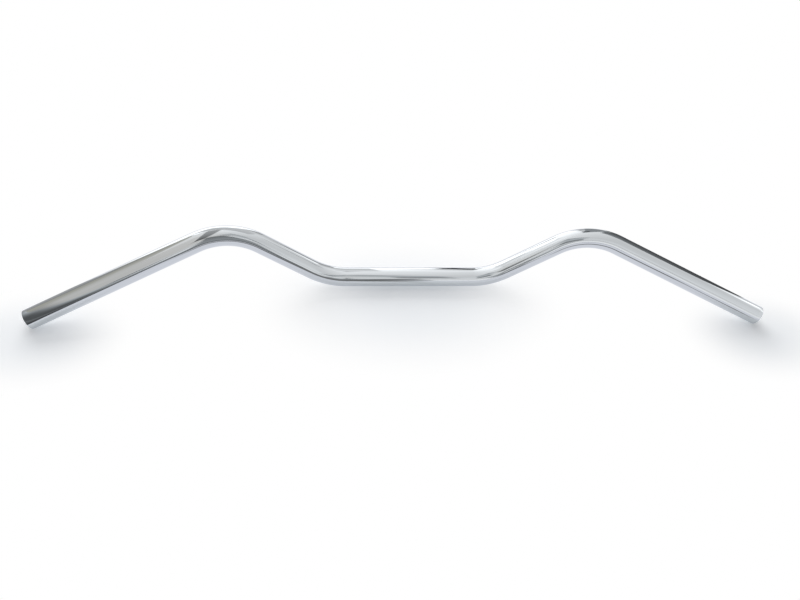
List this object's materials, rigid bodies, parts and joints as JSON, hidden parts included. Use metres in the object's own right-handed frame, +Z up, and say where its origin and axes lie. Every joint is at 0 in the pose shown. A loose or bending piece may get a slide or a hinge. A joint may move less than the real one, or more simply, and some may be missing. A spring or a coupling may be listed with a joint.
{
  "type": "bicycle handlebar",
  "caption": "Chromed round steel tube handlebar in one bent piece: level clamp straight, rising shoulders, and grip straights that sweep outward, back and down to open ends.",
  "frame": {"origin": "centre of the middle straight, where the stem clamps the tube", "axes": "+X along the bar toward the right-hand grip, +Y forward and away from the rider, +Z up with the bar resting on its middle straight and the lower edge of both cut ends"},
  "size_m": [0.8192, 0.0913, 0.0806],
  "materials": {
    "chrome": "polished chrome plate on steel"
  },
  "bodies": {
    "root": {"bar": "chrome"}
  },
  "joints": []
}
